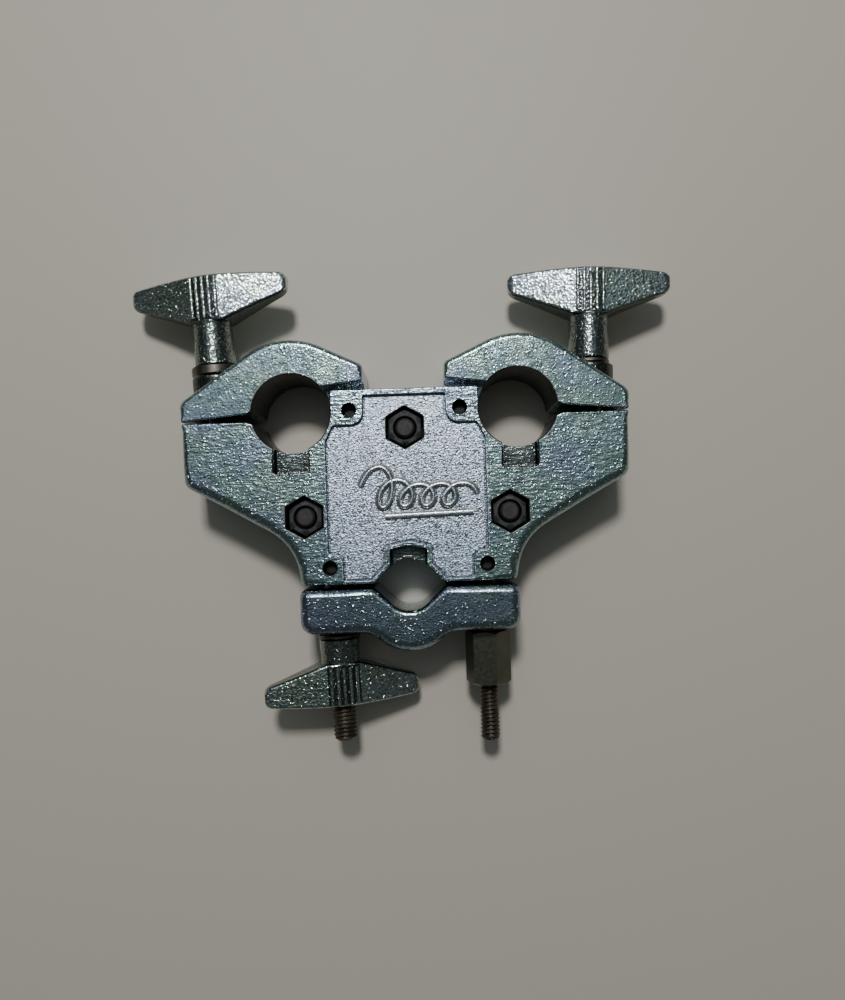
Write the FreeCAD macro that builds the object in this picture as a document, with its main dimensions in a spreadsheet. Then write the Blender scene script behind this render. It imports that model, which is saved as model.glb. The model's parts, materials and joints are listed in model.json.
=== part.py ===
import FreeCAD, Part
import math
import os
from FreeCAD import Placement, Rotation, Vector

# Three-way tube clamp: a two-piece cast body, two hinged upper jaws and one lower bar jaw.
# Row frame: Z runs along the three bores, z = 0 is the flat back, X is left to right, Y is up the body.

VIA = "via"          # marks the middle point of an arc in an outline

SIZES = {
    # cast body
    "thickness": 21.0,
    "half_depth": 10.5,
    "main_bore_radius": 9.65,
    "main_bore_x": 28.0,
    "main_bore_y": 22.2,
    "rod_bore_radius": 6.4,
    "rod_bore_y": -20.8,
    "panel_depth": 0.7,
    "relief_depth": 4.0,
    "relief_half_width": 4.4,
    "foot_y": -20.2,
    # hinge pins through the body
    "pin_hole_radius": 1.7,
    "pin_radius": 1.66,
    "pin_recess": 3.0,
    "jaw_pin_x": 13.65,
    "jaw_pin_y": 22.5,
    "foot_pin_x": 19.3,
    "foot_pin_y": -16.15,
    # hidden cross pins of the upper swing bolts
    "bolt_pivot_x": 47.0,
    "bolt_pivot_y": 11.0,
    "cross_pin_radius": 2.0,
    "cross_pin_length": 12.8,
    "cross_seat_radius": 2.05,
    "cross_seat_length": 13.0,
    # swing bolts and their slots
    "bolt_radius": 2.95,
    "adjuster_radius": 2.45,
    "eye_radius": 4.2,
    "eye_width": 6.0,
    "eye_slot_width": 6.6,
    "shank_slot_width": 6.8,
    "cross_pin_hole_radius": 2.06,
    "foot_pin_hole_radius": 1.72,
    "upper_bolt_length": 42.5,
    "lower_bolt_length": 44.4,
    "adjuster_length": 45.4,
    "left_lean": 3.5,
    "right_lean": 1.5,
    "lower_lean": 2.0,
    # jaw tongue and ear pocket
    "tongue_width": 8.0,
    "tongue_radius": 4.0,
    "ear_pocket_width": 8.4,
    "jaw_pin_hole_radius": 1.73,
    # washers, wing nuts and the long nut
    "washer_hole_radius": 3.2,
    "left_washer_radius": 6.2,
    "left_washer_width": 2.3,
    "right_washer_radius": 5.2,
    "right_washer_width": 1.05,
    "lower_washer_radius": 5.5,
    "lower_washer_width": 0.9,
    "adjuster_washer_radius": 5.0,
    "adjuster_washer_width": 0.8,
    "boss_radius": 6.5,
    "boss_start": 14.0,
    "boss_length": 8.6,
    "spot_face_height": 8.0,
    "upper_washer_start": 22.65,
    "lower_washer_start": 17.3,
    "adjuster_washer_start": 16.4,
    "nut_gap": 0.05,
    "hub_radius": 5.3,
    "upper_hub_length": 11.8,
    "lower_hub_length": 6.85,
    "nut_hole_radius": 3.0,
    "upper_nut_hole_depth": 19.5,
    "upper_wing_depth": 12.1,
    "upper_wing_half_span": 20.9,
    "upper_tip_start": 6.1,
    "lower_wing_depth": 10.9,
    "lower_wing_half_span": 19.9,
    "lower_tip_start": 5.1,
    "wing_root_width": 10.6,
    "wing_tip_width": 3.6,
    "left_nut_turn": -8.0,
    "right_nut_turn": -2.0,
    "lower_nut_turn": -13.0,
    "adjuster_nut_across_flats": 10.0,
    "adjuster_nut_length": 13.85,
    "adjuster_hole_radius": 2.5,
    "adjuster_nut_turn": 12.0,
    # lower bar
    "bar_half_length": 27.2,
    "bar_top_y": -21.2,
    "bar_base_y": -32.5,
    "belly_radius": 12.0,
    "belly_y": -25.2,
    # fasteners that join the two castings
    "screw_top_y": 17.95,
    "screw_side_x": 25.3,
    "screw_side_y": -3.5,
    "screw_radius": 2.45,
    "screw_hole_radius": 2.6,
    "screw_head_radius": 4.4,
    "screw_head_width": 2.8,
    "screw_head_start": 0.3,
    "screw_shank_length": 16.6,
    "head_pocket_radius": 4.8,
    "head_pocket_depth": 3.2,
    "drive_across_flats": 3.0,
    "drive_depth": 1.8,
    "hex_pocket_across_flats": 9.2,
    "hex_pocket_depth": 6.0,
    "body_nut_across_flats": 8.0,
    "body_nut_width": 4.0,
}

doc = FreeCAD.newDocument("tube_clamp")
sheet = doc.addObject("Spreadsheet::Sheet", "dims")
for row, (word, value) in enumerate(SIZES.items(), start=1):
    sheet.set("A%d" % row, word)
    sheet.set("B%d" % row, str(value))
    sheet.setAlias("B%d" % row, word)
doc.recompute()

size = {word: float(sheet.get(word)) for word in SIZES}
midZ = size["half_depth"]
parts = []

ALONG_Y = Rotation(Vector(1, 0, 0), -90)     # turns a primitive's own Z to +Y


def cell(word):
    return "dims.%s" % word


def newPart(label, at=("0", "0", "0"), lean=None):
    """One sub-part: a body whose placement is bound to the sheet."""
    body = doc.addObject("PartDesign::Body", label)
    body.Label = label
    if lean is not None:
        body.Placement = Placement(Vector(), Rotation(Vector(0, 0, 1), 1))
        body.setExpression("Placement.Rotation.Angle", lean)
    for axis, value in zip("xyz", at):
        body.setExpression("Placement.Base.%s" % axis, value)
    parts.append(body)
    return body


def plane(body, role):
    return [item for item in body.Origin.OriginFeatures if item.Role == role][0]


def newSketch(body, name, role="XY_Plane", offset="0"):
    sketch = body.newObject("Sketcher::SketchObject", name)
    sketch.AttachmentSupport = [(plane(body, role), "")]
    sketch.MapMode = "FlatFace"
    sketch.setExpression(".AttachmentOffset.Base.z", offset)
    return sketch


def trace(sketch, path):
    """Adds a closed outline; a point marked VIA is the middle of an arc between its neighbours."""
    loop = path + path[:1]
    index = 0
    while index < len(loop) - 1:
        start = Vector(loop[index][0], loop[index][1], 0)
        if VIA in loop[index + 1]:
            middle = Vector(loop[index + 1][0], loop[index + 1][1], 0)
            end = Vector(loop[index + 2][0], loop[index + 2][1], 0)
            sketch.addGeometry(Part.Arc(start, middle, end))
            index += 2
        else:
            end = Vector(loop[index + 1][0], loop[index + 1][1], 0)
            sketch.addGeometry(Part.LineSegment(start, end))
            index += 1


def mirrored(path):
    """The same outline on the other side of the Y axis, with its direction kept."""
    return [(-point[0],) + tuple(point[1:]) for point in reversed(path)]


def bothSides(half):
    """Joins a right half that starts and ends on the Y axis, or beside it, to its mirror image."""
    other = [point for point in mirrored(half) if abs(point[0]) > 1e-9]
    return half + other


def pad(body, sketch, length, middle=False):
    feature = body.newObject("PartDesign::Pad", sketch.Name + "_pad")
    feature.Profile = sketch
    feature.setExpression("Length", length)
    feature.Midplane = middle
    sketch.Visibility = False
    return feature


def pocket(body, sketch, depth, middle=False):
    feature = body.newObject("PartDesign::Pocket", sketch.Name + "_pocket")
    feature.Profile = sketch
    feature.setExpression("Length", depth)
    feature.Midplane = middle
    sketch.Visibility = False
    return feature


def primitive(body, kind, name, sizes, at=(0, 0, 0), turn=Rotation()):
    """A PartDesign primitive whose sizes are bound to the sheet."""
    feature = body.newObject("PartDesign::" + kind, name)
    for prop, expression in sizes.items():
        feature.setExpression(prop, expression)
    feature.Placement = Placement(Vector(*at), turn)
    return feature


def hexPrism(body, kind, name, acrossFlats, height, at=(0, 0, 0), turn=Rotation()):
    sizes = {"Circumradius": "%s / 2 / cos(30 deg)" % acrossFlats, "Height": height}
    feature = primitive(body, kind, name, sizes, at, turn)
    feature.Polygon = 6
    return feature


# ---------------------------------------------------------------- outlines of the cast body

def bodyOutline():
    """Right half from the top centre, clockwise, round the bore and down to the rod notch."""
    cx, cy, radius = size["main_bore_x"], size["main_bore_y"], size["main_bore_radius"]
    slotY = cy - 1.8
    lipY = cy - 2.5
    lipX = cx + math.sqrt(radius ** 2 - (cy - lipY) ** 2)
    rod = size["rod_bore_radius"]
    rodY = size["rod_bore_y"]
    touch = rod * math.sqrt(0.5)
    foot = size["foot_y"]
    return [
        (0, 27.6), (cx - radius, 27.6), (cx - radius, cy),
        (cx, cy - radius, VIA), (lipX, lipY), (lipX + 1.8, slotY),
        (54.4, slotY), (54.8, slotY - 0.2, VIA), (55, slotY - 0.6), (55, 6.6),
        (54.4, 5.0, VIA), (53.0, 3.9), (35.5, -6.1), (30.3, -10.1, VIA), (27.6, -15.2),
        (26.6, foot + 0.8), (26.4, foot + 0.2, VIA), (25.8, foot),
        (touch + (rodY + touch - foot), foot), (touch, rodY + touch), (0, rodY + rod, VIA),
    ]


def panelOutline():
    """The shallow sand-textured panel on the front, between the bores and down to the rod notch."""
    return bothSides([
        (0, 26.05), (10.1, 26.05), (10.3, 22.2), (10.9, 20.0, VIA), (12.8, 18.9), (17.4, 18.8),
        (18.6, 17.8, VIA), (19.5, 15.0), (19.6, -12.4), (18.2, -12.8), (16.8, -13.5, VIA),
        (16.2, -15.1), (15.9, -19.4), (9.2, -19.4), (5.85, -15.8), (5.8, -11.4), (0, -10.2, VIA),
    ])


def upperRelief(side):
    """The notch beside a large bore that a memory lock's key drops into."""
    half = size["relief_half_width"]
    cx = size["main_bore_x"] + 0.2
    path = [(cx - half, 19.0), (cx + half, 19.0), (cx + half, 7.9), (cx, 7.1, VIA), (cx - half, 7.9)]
    return path if side > 0 else mirrored(path)


def lowerRelief():
    half = size["relief_half_width"]
    return [(-half, -19.0), (half, -19.0), (half, -12.1), (0, -11.3, VIA), (-half, -12.1)]


def earPocket(side):
    """The space between the two ears for the jaw's tongue, open at the top and to the bore."""
    px, py = size["jaw_pin_x"], size["jaw_pin_y"]
    reach = 4.75
    diagonal = reach * math.sqrt(0.5)
    path = [
        (px - reach, 29.0), (px - reach, py), (px - diagonal, py - diagonal, VIA), (px, py - reach),
        (px + 3.75, py - reach), (px + 3.75, py - 2.3), (px + 7.0, py - 2.3), (px + 7.0, 29.0),
    ]
    return path if side > 0 else mirrored(path)


def boltPocket(side):
    """The slot that an upper swing bolt turns in, open at the top and at the outer edge."""
    px, py = size["bolt_pivot_x"], size["bolt_pivot_y"]
    reach = 4.6
    diagonal = reach * math.sqrt(0.5)
    path = [
        (px - reach, 22.0), (px - reach, py), (px - diagonal, py - diagonal, VIA), (px, py - reach),
        (57.0, py - 3.7), (57.0, 22.0),
    ]
    return path if side > 0 else mirrored(path)


def footPocket(side):
    """The slot that a lower eyebolt turns in, open at the foot and at the side."""
    px, py = size["foot_pin_x"], size["foot_pin_y"]
    reach = 4.5
    diagonal = reach * math.sqrt(0.5)
    path = [
        (px - reach, -22.0), (px - reach, py), (px - diagonal, py + diagonal, VIA), (px, py + reach),
        (31.0, py + 3.6), (31.0, -22.0),
    ]
    return path if side > 0 else mirrored(path)


# each place is a side, -1, 0 or 1, and the cells that hold its X and Y
SCREWS = {
    "top": (0, "screw_side_x", "screw_top_y"),
    "left": (-1, "screw_side_x", "screw_side_y"),
    "right": (1, "screw_side_x", "screw_side_y"),
}
PINS = {
    "left_jaw_pin": (-1, "jaw_pin_x", "jaw_pin_y"),
    "right_jaw_pin": (1, "jaw_pin_x", "jaw_pin_y"),
    "lower_left_pin": (-1, "foot_pin_x", "foot_pin_y"),
    "lower_right_pin": (1, "foot_pin_x", "foot_pin_y"),
}


def spot(place):
    """A place in millimetres."""
    side, xWord, yWord = place
    return side * size[xWord], size[yWord]


def boundSpot(place, base):
    """A place as expressions, with the given expression for Z."""
    side, xWord, yWord = place
    return "%d * %s" % (side, cell(xWord)), cell(yWord), base


# ---------------------------------------------------------------- the two half castings

def makeCasting(label, isFront):
    base = cell("half_depth") if isFront else "0"
    body = newPart(label, at=("0", "0", base))
    outline = newSketch(body, label + "_outline")
    trace(outline, bothSides(bodyOutline()))
    pad(body, outline, cell("half_depth"))

    # pockets for moving pieces lie on the parting plane, half their width in each casting
    for name, width, shape in (("ear", "ear_pocket_width", earPocket),
                               ("bolt", "eye_slot_width", boltPocket),
                               ("foot", "eye_slot_width", footPocket)):
        for side, word in ((1, "right"), (-1, "left")):
            sketch = newSketch(body, "%s_%s_%s" % (label, name, word),
                               offset="%s / 2" % cell(width) if isFront else cell("half_depth"))
            trace(sketch, shape(side))
            pocket(body, sketch, "%s / 2" % cell(width))

    # hinge pin holes run right through
    for name, place in PINS.items():
        x, y = spot(place)
        primitive(body, "SubtractiveCylinder", "%s_%s" % (label, name),
                  {"Radius": cell("pin_hole_radius"), "Height": cell("half_depth")}, (x, y, 0))

    # blind seats for the hidden cross pins
    seatStart = 0 if isFront else midZ - size["cross_seat_length"] / 2
    for side, word in ((1, "right"), (-1, "left")):
        primitive(body, "SubtractiveCylinder", "%s_cross_%s" % (label, word),
                  {"Radius": cell("cross_seat_radius"), "Height": "%s / 2" % cell("cross_seat_length")},
                  (side * size["bolt_pivot_x"], size["bolt_pivot_y"], seatStart))

    # memory lock reliefs on the outer face
    faceTop = cell("half_depth") if isFront else cell("relief_depth")
    for name, path in (("right", upperRelief(1)), ("left", upperRelief(-1)), ("lower", lowerRelief())):
        sketch = newSketch(body, "%s_relief_%s" % (label, name), offset=faceTop)
        trace(sketch, path)
        pocket(body, sketch, cell("relief_depth"))

    # screw holes, with hex pockets in front and round head pockets at the back
    for name, place in SCREWS.items():
        x, y = spot(place)
        primitive(body, "SubtractiveCylinder", "%s_screw_%s" % (label, name),
                  {"Radius": cell("screw_hole_radius"), "Height": cell("half_depth")}, (x, y, 0))
        if isFront:
            hexPrism(body, "SubtractivePrism", "%s_hex_%s" % (label, name),
                     cell("hex_pocket_across_flats"), cell("hex_pocket_depth"),
                     (x, y, midZ - size["hex_pocket_depth"]), Rotation(Vector(0, 0, 1), 30))
        else:
            primitive(body, "SubtractiveCylinder", "%s_head_%s" % (label, name),
                      {"Radius": cell("head_pocket_radius"), "Height": cell("head_pocket_depth")},
                      (x, y, 0))

    if isFront:
        panel = newSketch(body, "panel", offset=cell("half_depth"))
        trace(panel, panelOutline())
        pocket(body, panel, cell("panel_depth"))
    return body


# ---------------------------------------------------------------- fixed pins, screws and nuts

def makePin(label, place):
    body = newPart(label, at=boundSpot(place, cell("pin_recess")))
    primitive(body, "AdditiveCylinder", label + "_rod",
              {"Radius": cell("pin_radius"),
               "Height": "%s - 2 * %s" % (cell("thickness"), cell("pin_recess"))})


def makeCrossPin(label, side):
    body = newPart(label, at=("%d * %s" % (side, cell("bolt_pivot_x")), cell("bolt_pivot_y"),
                              "%s - %s / 2" % (cell("half_depth"), cell("cross_pin_length"))))
    primitive(body, "AdditiveCylinder", label + "_rod",
              {"Radius": cell("cross_pin_radius"), "Height": cell("cross_pin_length")})


def makeScrew(label, place):
    body = newPart(label, at=boundSpot(place, cell("screw_head_start")))
    primitive(body, "AdditiveCylinder", label + "_head",
              {"Radius": cell("screw_head_radius"), "Height": cell("screw_head_width")})
    primitive(body, "AdditiveCylinder", label + "_shank",
              {"Radius": cell("screw_radius"), "Height": cell("screw_shank_length")},
              (0, 0, size["screw_head_width"]))
    hexPrism(body, "SubtractivePrism", label + "_drive", cell("drive_across_flats"), cell("drive_depth"))


def makeBodyNut(label, place):
    base = "%s - %s" % (cell("thickness"), cell("hex_pocket_depth"))
    body = newPart(label, at=boundSpot(place, base))
    hexPrism(body, "AdditivePrism", label + "_hex", cell("body_nut_across_flats"),
             cell("body_nut_width"), turn=Rotation(Vector(0, 0, 1), 30))
    primitive(body, "SubtractiveCylinder", label + "_hole",
              {"Radius": "%s + 0.05" % cell("screw_radius"), "Height": cell("body_nut_width")})


# ---------------------------------------------------------------- jaws

def jawOutline():
    """Right jaw, clockwise from its hinge end; its back is concentric with the bore."""
    cx, cy, radius = size["main_bore_x"], size["main_bore_y"], size["main_bore_radius"]
    backRadius = 18.4
    backStart = math.radians(122.5)
    backEnd = math.radians(61.0)
    innerAngle = math.radians(139.2)
    lipY = cy + 0.8
    lipX = cx + math.sqrt(radius ** 2 - (lipY - cy) ** 2)
    return [
        (10.1, 29.7), (10.1, 32.6), (10.7, 34.0, VIA), (12.2, 34.9),
        (cx + backRadius * math.cos(backStart), cy + backRadius * math.sin(backStart)),
        (cx, cy + backRadius, VIA),
        (cx + backRadius * math.cos(backEnd), cy + backRadius * math.sin(backEnd)),
        (53.4, 27.1), (54.9, 25.7, VIA), (55.4, 23.8), (55.1, 20.7), (39.2, 22.3), (lipX, lipY),
        (cx, cy + radius, VIA),
        (cx + radius * math.cos(innerAngle), cy + radius * math.sin(innerAngle)),
    ]


def tongueOutline():
    """The tongue that reaches down between the ears to the hinge pin."""
    px, py = size["jaw_pin_x"], size["jaw_pin_y"]
    radius = size["tongue_radius"]
    return [(px - radius, py), (px, py - radius, VIA), (px + radius, py), (20.3, 28.6), (21.5, 31.5),
            (px - radius + 0.6, 31.5)]


def makeJaw(label, side, lean):
    body = newPart(label)
    outline = newSketch(body, label + "_outline")
    trace(outline, jawOutline() if side > 0 else mirrored(jawOutline()))
    pad(body, outline, cell("thickness"))

    tongue = newSketch(body, label + "_tongue", offset=cell("half_depth"))
    trace(tongue, tongueOutline() if side > 0 else mirrored(tongueOutline()))
    pad(body, tongue, cell("tongue_width"), middle=True)

    # the seat for the washer stands along the bolt's own axis
    tilt = Rotation(Vector(0, 0, 1), -side * size[lean])
    pivot = Vector(side * size["bolt_pivot_x"], size["bolt_pivot_y"], midZ)
    seatBase = pivot + tilt.multVec(Vector(0, size["boss_start"], 0))
    primitive(body, "AdditiveCylinder", label + "_boss",
              {"Radius": cell("boss_radius"), "Height": cell("boss_length")},
              tuple(seatBase), tilt.multiply(ALONG_Y))

    # a spot face lets the washer down past the casting's shoulder
    radius = size["boss_start"] + size["boss_length"]
    primitive(body, "SubtractiveCylinder", label + "_spot_face",
              {"Radius": "%s + 0.1" % cell("boss_radius"), "Height": cell("spot_face_height")},
              tuple(pivot + tilt.multVec(Vector(0, radius, 0))), tilt.multiply(ALONG_Y))

    # outward of the bolt the seat curves about the bolt's pivot, so the washer can swing clear
    far = radius + 5.0

    def around(reach, degrees):
        angle = math.radians(90 - side * degrees)
        return pivot.x + reach * math.cos(angle), pivot.y + reach * math.sin(angle)

    crown = newSketch(body, label + "_crown", offset=cell("half_depth"))
    own = size[lean]
    trace(crown, [around(radius, own), around(radius, own + 12) + (VIA,), around(radius, own + 24),
                  around(far, own + 24), around(far, own)])
    pocket(body, crown, cell("thickness"), middle=True)

    slot = newSketch(body, label + "_slot", offset=cell("half_depth"))
    inner = side * (size["bolt_pivot_x"] - 3.7)
    outer = side * 62.0
    trace(slot, [(inner, 18.0), (outer, 18.0), (outer, 38.0), (inner, 38.0)])
    pocket(body, slot, cell("shank_slot_width"), middle=True)

    primitive(body, "SubtractiveCylinder", label + "_pin_hole",
              {"Radius": cell("jaw_pin_hole_radius"), "Height": cell("thickness")},
              (side * size["jaw_pin_x"], size["jaw_pin_y"], 0))
    return body


def barOutline():
    """Right half of the lower bar, from the notch bottom round to the belly."""
    rod, rodY = size["rod_bore_radius"], size["rod_bore_y"]
    touch = rod * math.sqrt(0.5)
    top, base, end = size["bar_top_y"], size["bar_base_y"], size["bar_half_length"]
    belly, bellyY = size["belly_radius"], size["belly_y"]
    fillet = 4.0
    filletY = base - fillet
    filletX = math.sqrt((belly + fillet) ** 2 - (bellyY - filletY) ** 2)
    reach = belly / (belly + fillet)
    meet = (filletX * reach, bellyY + (filletY - bellyY) * reach)
    corner = 3.2
    soft = corner * (1 - math.sqrt(0.5))
    return [
        (0, rodY - rod, VIA), (touch, rodY - touch),
        (touch + (top - rodY + touch), top), (end - 1.6, top), (end - 0.5, top - 0.5, VIA),
        (end, top - 1.6), (end, base + corner), (end - soft, base + soft, VIA), (end - corner, base),
        (filletX, base),
        (filletX - fillet * math.sin(math.radians(22)), filletY + fillet * math.cos(math.radians(22)), VIA),
        meet, (0, bellyY - belly, VIA),
    ]


def makeLowerJaw(label):
    body = newPart(label)
    outline = newSketch(body, label + "_outline")
    right = barOutline()
    left = mirrored(right[1:-1])
    trace(outline, right[1:] + left + right[:1])
    pad(body, outline, cell("thickness"))

    slot = newSketch(body, label + "_slot", offset=cell("half_depth"))
    inner = -(size["foot_pin_x"] - 4.4)
    trace(slot, [(inner, -18.0), (-32.0, -18.0), (-32.0, -39.0), (inner, -39.0)])
    pocket(body, slot, cell("shank_slot_width"), middle=True)

    primitive(body, "SubtractiveCylinder", label + "_bolt_hole",
              {"Radius": "%s + 0.4" % cell("adjuster_radius"), "Height": "30"},
              (size["foot_pin_x"], -45.0, midZ), ALONG_Y)
    return body


# ---------------------------------------------------------------- bolts, washers and nuts

def boltPlacement(side, isLower, lean):
    """Pivot and direction of a bolt: its own +Y runs from the pivot to its free end."""
    px, py = ("foot_pin_x", "foot_pin_y") if isLower else ("bolt_pivot_x", "bolt_pivot_y")
    at = ("%d * %s" % (side, cell(px)), cell(py), cell("half_depth"))
    if isLower:
        angle = "180 + %s" % (cell(lean) if lean else "0")
    else:
        angle = "%d * %s" % (-side, cell(lean))
    return at, angle


def leanDegrees(side, isLower, lean):
    return 180 + size[lean] if isLower else -side * size[lean]


def makeEyeBolt(label, place, holeCell, radiusCell, lengthCell):
    at, angle = place
    body = newPart(label, at=at, lean=angle)
    primitive(body, "AdditiveCylinder", label + "_eye",
              {"Radius": cell("eye_radius"), "Height": cell("eye_width")},
              (0, 0, -size["eye_width"] / 2))
    primitive(body, "AdditiveCylinder", label + "_shank",
              {"Radius": cell(radiusCell), "Height": cell(lengthCell)}, (0, 0, 0), ALONG_Y)
    primitive(body, "SubtractiveCylinder", label + "_hole",
              {"Radius": cell(holeCell), "Height": cell("eye_width")}, (0, 0, -size["eye_width"] / 2))
    return body


def makeWasher(label, place, startCell, holeExpression):
    at, angle = place
    body = newPart(label, at=at, lean=angle)
    start = (0, size[startCell], 0)
    primitive(body, "AdditiveCylinder", label + "_disc",
              {"Radius": cell(label + "_radius"), "Height": cell(label + "_width")}, start, ALONG_Y)
    primitive(body, "SubtractiveCylinder", label + "_hole",
              {"Radius": holeExpression, "Height": cell(label + "_width")}, start, ALONG_Y)
    return body


def wingOutline(root, row):
    """Side view of the wing: sloped edges on the hub side and a crowned far edge."""
    half = size[row + "_wing_half_span"]
    tall = size[row + "_wing_depth"]
    tip = root + size[row + "_tip_start"]
    return bothSides([
        (0, root), (4.3, root), (half - 1.3, tip), (half - 0.3, tip + 0.6, VIA),
        (half, tip + 1.6), (half - 0.1, tip + 3.4), (half - 0.6, tip + 4.4, VIA),
        (half - 1.7, tip + 4.9), (half / 2, root + tall - 0.25 * (root + tall - tip - 4.9), VIA),
        (0, root + tall),
    ])


def makeWingNut(label, row, word, side):
    """A wing nut on the bolt named by word; it stands turned on its thread as it was left."""
    isLower = row == "lower"
    at, _ = boltPlacement(side, isLower, word + "_lean")
    body = newPart(label, at=at)
    lean = Rotation(Vector(0, 0, 1), leanDegrees(side, isLower, word + "_lean"))
    body.Placement = Placement(body.Placement.Base,
                               lean.multiply(Rotation(Vector(0, 1, 0), size[word + "_nut_turn"])))
    hubCell = row + "_hub_length"
    hubStart = size[row + "_washer_start"] + size[word + "_washer_width"] + size["nut_gap"]
    root = hubStart + size[hubCell] - 0.8
    wing = newSketch(body, label + "_wing")
    trace(wing, wingOutline(root, row))
    pad(body, wing, cell("wing_root_width"), middle=True)

    # both faces fall away from the middle to the tips
    taper = newSketch(body, label + "_taper", role="XZ_Plane", offset=str(-(root - 1)))
    half = size["upper_wing_half_span"] + 1
    rootHalf, tipHalf = size["wing_root_width"] / 2, size["wing_tip_width"] / 2
    for sign in (1, -1):
        for face in (1, -1):
            trace(taper, [(sign * 3.6, face * rootHalf), (sign * half, face * tipHalf),
                          (sign * half, face * (rootHalf + 1)), (sign * 3.6, face * (rootHalf + 1))])
    pocket(body, taper, "%s + 2" % cell(row + "_wing_depth"))

    primitive(body, "AdditiveCylinder", label + "_hub",
              {"Radius": cell("hub_radius"), "Height": cell(hubCell)}, (0, hubStart, 0), ALONG_Y)
    holeDepth = "40" if isLower else cell("upper_nut_hole_depth")
    primitive(body, "SubtractiveCylinder", label + "_thread",
              {"Radius": cell("nut_hole_radius"), "Height": holeDepth}, (0, hubStart, 0), ALONG_Y)
    return body


def makeAdjusterNut(label, place):
    at, angle = place
    body = newPart(label, at=at, lean=angle)
    start = size["adjuster_washer_start"] + size["adjuster_washer_width"] + size["nut_gap"]
    turned = ALONG_Y.multiply(Rotation(Vector(0, 0, 1), size["adjuster_nut_turn"]))
    hexPrism(body, "AdditivePrism", label + "_hex", cell("adjuster_nut_across_flats"),
             cell("adjuster_nut_length"), (0, start, 0), turned)
    primitive(body, "SubtractiveCylinder", label + "_thread",
              {"Radius": cell("adjuster_hole_radius"), "Height": cell("adjuster_nut_length")},
              (0, start, 0), ALONG_Y)
    return body


# ---------------------------------------------------------------- the whole clamp

makeCasting("front_casting", True)
makeCasting("rear_casting", False)
for pinName, pinPlace in PINS.items():
    makePin(pinName, pinPlace)
for screwName, screwPlace in SCREWS.items():
    makeScrew("body_screw_" + screwName, screwPlace)
    makeBodyNut("body_nut_" + screwName, screwPlace)

for word, side in (("left", -1), ("right", 1)):
    makeCrossPin(word + "_bolt_pin", side)
    makeJaw(word + "_jaw", side, word + "_lean")
    place = boltPlacement(side, False, word + "_lean")
    makeEyeBolt(word + "_swing_bolt", place, "cross_pin_hole_radius", "bolt_radius", "upper_bolt_length")
    makeWasher(word + "_washer", place, "upper_washer_start", cell("washer_hole_radius"))
    makeWingNut(word + "_wing_nut", "upper", word, side)

makeLowerJaw("lower_jaw")
lowerPlace = boltPlacement(-1, True, "lower_lean")
makeEyeBolt("lower_swing_bolt", lowerPlace, "foot_pin_hole_radius", "bolt_radius", "lower_bolt_length")
makeWasher("lower_washer", lowerPlace, "lower_washer_start", cell("washer_hole_radius"))
makeWingNut("lower_wing_nut", "lower", "lower", -1)
adjusterPlace = boltPlacement(1, True, "")
makeEyeBolt("adjuster_bolt", adjusterPlace, "foot_pin_hole_radius", "adjuster_radius", "adjuster_length")
makeWasher("adjuster_washer", adjusterPlace, "adjuster_washer_start", "%s + 0.3" % cell("adjuster_radius"))
makeAdjusterNut("adjuster_nut", adjusterPlace)

doc.recompute()

failed = [item.Name for item in doc.Objects if "Invalid" in item.State or "Error" in item.State]
if failed:
    raise RuntimeError("failed features: " + ", ".join(failed))

for item in doc.Objects:
    if item.TypeId == "PartDesign::Pocket" or "Subtractive" in item.TypeId:
        if item.Shape.Volume >= item.BaseFeature.Shape.Volume - 1e-6:
            raise RuntimeError("cuts nothing: " + item.Name)

os.makedirs("parts", exist_ok=True)
for body in parts:
    shape = body.Shape
    if shape.isNull() or not shape.isValid() or len(shape.Solids) != 1:
        raise RuntimeError("not one valid solid: " + body.Label)
    shape.exportStep("parts/%s.step" % body.Label)
    print(body.Label, round(shape.Volume, 1))
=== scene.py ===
import json
import math
import bmesh
import bpy
from mathutils import Matrix, Vector


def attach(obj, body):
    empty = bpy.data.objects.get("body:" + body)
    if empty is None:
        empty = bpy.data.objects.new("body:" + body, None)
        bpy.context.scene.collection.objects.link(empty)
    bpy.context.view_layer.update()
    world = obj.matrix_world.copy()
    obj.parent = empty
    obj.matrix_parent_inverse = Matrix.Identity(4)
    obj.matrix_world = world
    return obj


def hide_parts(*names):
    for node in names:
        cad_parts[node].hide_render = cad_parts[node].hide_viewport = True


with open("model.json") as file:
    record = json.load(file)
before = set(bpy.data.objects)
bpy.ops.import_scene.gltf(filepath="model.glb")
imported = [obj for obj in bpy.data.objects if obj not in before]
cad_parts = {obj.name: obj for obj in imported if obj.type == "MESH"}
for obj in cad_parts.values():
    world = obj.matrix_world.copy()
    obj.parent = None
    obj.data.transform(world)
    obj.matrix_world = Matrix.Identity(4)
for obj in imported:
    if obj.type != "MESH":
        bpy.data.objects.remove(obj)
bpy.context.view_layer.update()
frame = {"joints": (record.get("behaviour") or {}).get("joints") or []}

mm = 0.001
midZ = 10.5        # the parting plane of the two castings, mm above the flat back
joints = {joint["name"]: joint for joint in frame["joints"]}
scene = bpy.context.scene
print("frame loaded")


# finishes: procedural, on Object coordinates

def addNode(tree, kind, **settings):
    node = tree.nodes.new(kind)
    for key, value in settings.items():
        setattr(node, key, value)
    return node


def scaledCoords(tree, scale):
    coords = addNode(tree, "ShaderNodeTexCoord")
    mapping = addNode(tree, "ShaderNodeMapping")
    mapping.inputs["Scale"].default_value = scale
    tree.links.new(coords.outputs["Object"], mapping.inputs["Vector"])
    return mapping.outputs["Vector"]


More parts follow.
